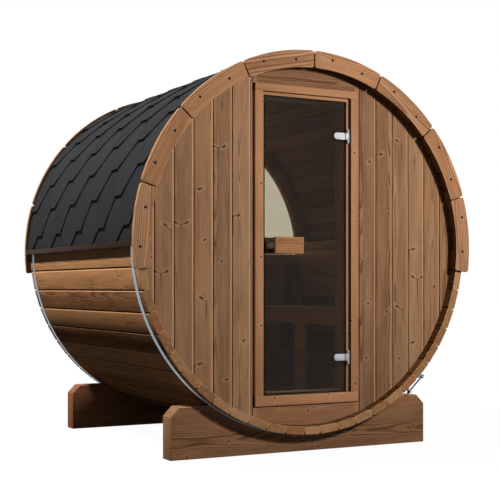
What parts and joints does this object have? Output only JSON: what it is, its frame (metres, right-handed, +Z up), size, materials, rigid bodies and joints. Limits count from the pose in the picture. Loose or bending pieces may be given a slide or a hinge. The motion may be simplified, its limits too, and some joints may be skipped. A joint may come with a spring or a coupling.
{
  "type": "barrel sauna",
  "caption": "Walk-in barrel sauna of round-laid staves on two cradles, with a shingled top, curved fascias, a hinged glass door, a half-moon rear window and benches.",
  "frame": {"origin": "middle of the footprint on the ground, halfway between the two ends", "axes": "+X to the right seen from the door end, +Y from the door end to the window end along the barrel, +Z up; the door faces -Y"},
  "size_m": [2.006, 1.7446, 2.071],
  "materials": {
    "stave_wood": "oiled thermo-treated boards",
    "wall_wood": "oiled thermo-treated boards",
    "panel_wood": "oiled thermo-treated boards",
    "frame_wood": "oiled thermo-treated timber",
    "fascia_wood": "oiled thermo-treated boards",
    "cradle_wood": "dark oiled timber",
    "batten_wood": "dark stained batten",
    "shingle": "mineral-faced bitumen",
    "band_steel": "plain",
    "bolt_black": "black",
    "hinge_metal": "satin",
    "smoked_glass": "bronze tinted",
    "handle_wood": "sanded",
    "post_chrome": "polished",
    "bench_wood": "sanded, untreated"
  },
  "bodies": {
    "sauna": {"staves_bottom": "stave_wood", "staves_lower_left": "stave_wood", "staves_lower_right": "stave_wood", "staves_upper_left": "stave_wood", "staves_upper_right": "stave_wood", "staves_top": "stave_wood", "cradle_front": "cradle_wood", "cradle_rear": "cradle_wood", "front_wall_left": "wall_wood", "front_wall_right": "wall_wood", "front_lintel": "panel_wood", "front_sill": "panel_wood", "rear_wall": "wall_wood", "window_rail": "frame_wood", "window_arch": "frame_wood", "window_pane": "smoked_glass", "front_fascia_left": "fascia_wood", "front_fascia_right": "fascia_wood", "rear_fascia_left": "fascia_wood", "rear_fascia_right": "fascia_wood", "roof_left": "shingle", "roof_right": "shingle", "eave_left": "batten_wood", "eave_right": "batten_wood", "front_band": "band_steel", "rear_band": "band_steel", "band_bolts": "bolt_black", "frame_head": "frame_wood", "frame_threshold": "frame_wood", "frame_jamb_left": "frame_wood", "frame_jamb_right": "frame_wood", "hinge_bracket_top": "hinge_metal", "hinge_bracket_bottom": "hinge_metal", "floor_boards": "bench_wood", "floor_bearers": "bench_wood", "bench_seat_left": "bench_wood", "bench_seat_right": "bench_wood", "bench_frame_left": "bench_wood", "bench_frame_right": "bench_wood", "backrest_left": "bench_wood", "backrest_right": "bench_wood"},
    "door": {"door_glass": "smoked_glass", "handle_outer": "handle_wood", "handle_inner": "handle_wood", "handle_posts": "post_chrome", "hinge_clamp_top": "hinge_metal", "hinge_clamp_bottom": "hinge_metal"}
  },
  "joints": [
    {"name": "door_hinge", "type": "hinge", "parent": "sauna", "child": "door", "pos_m": [0.2555, -0.792, 1.0685], "axis": [0, 0, 1], "range_deg": [0, 90]}
  ]
}
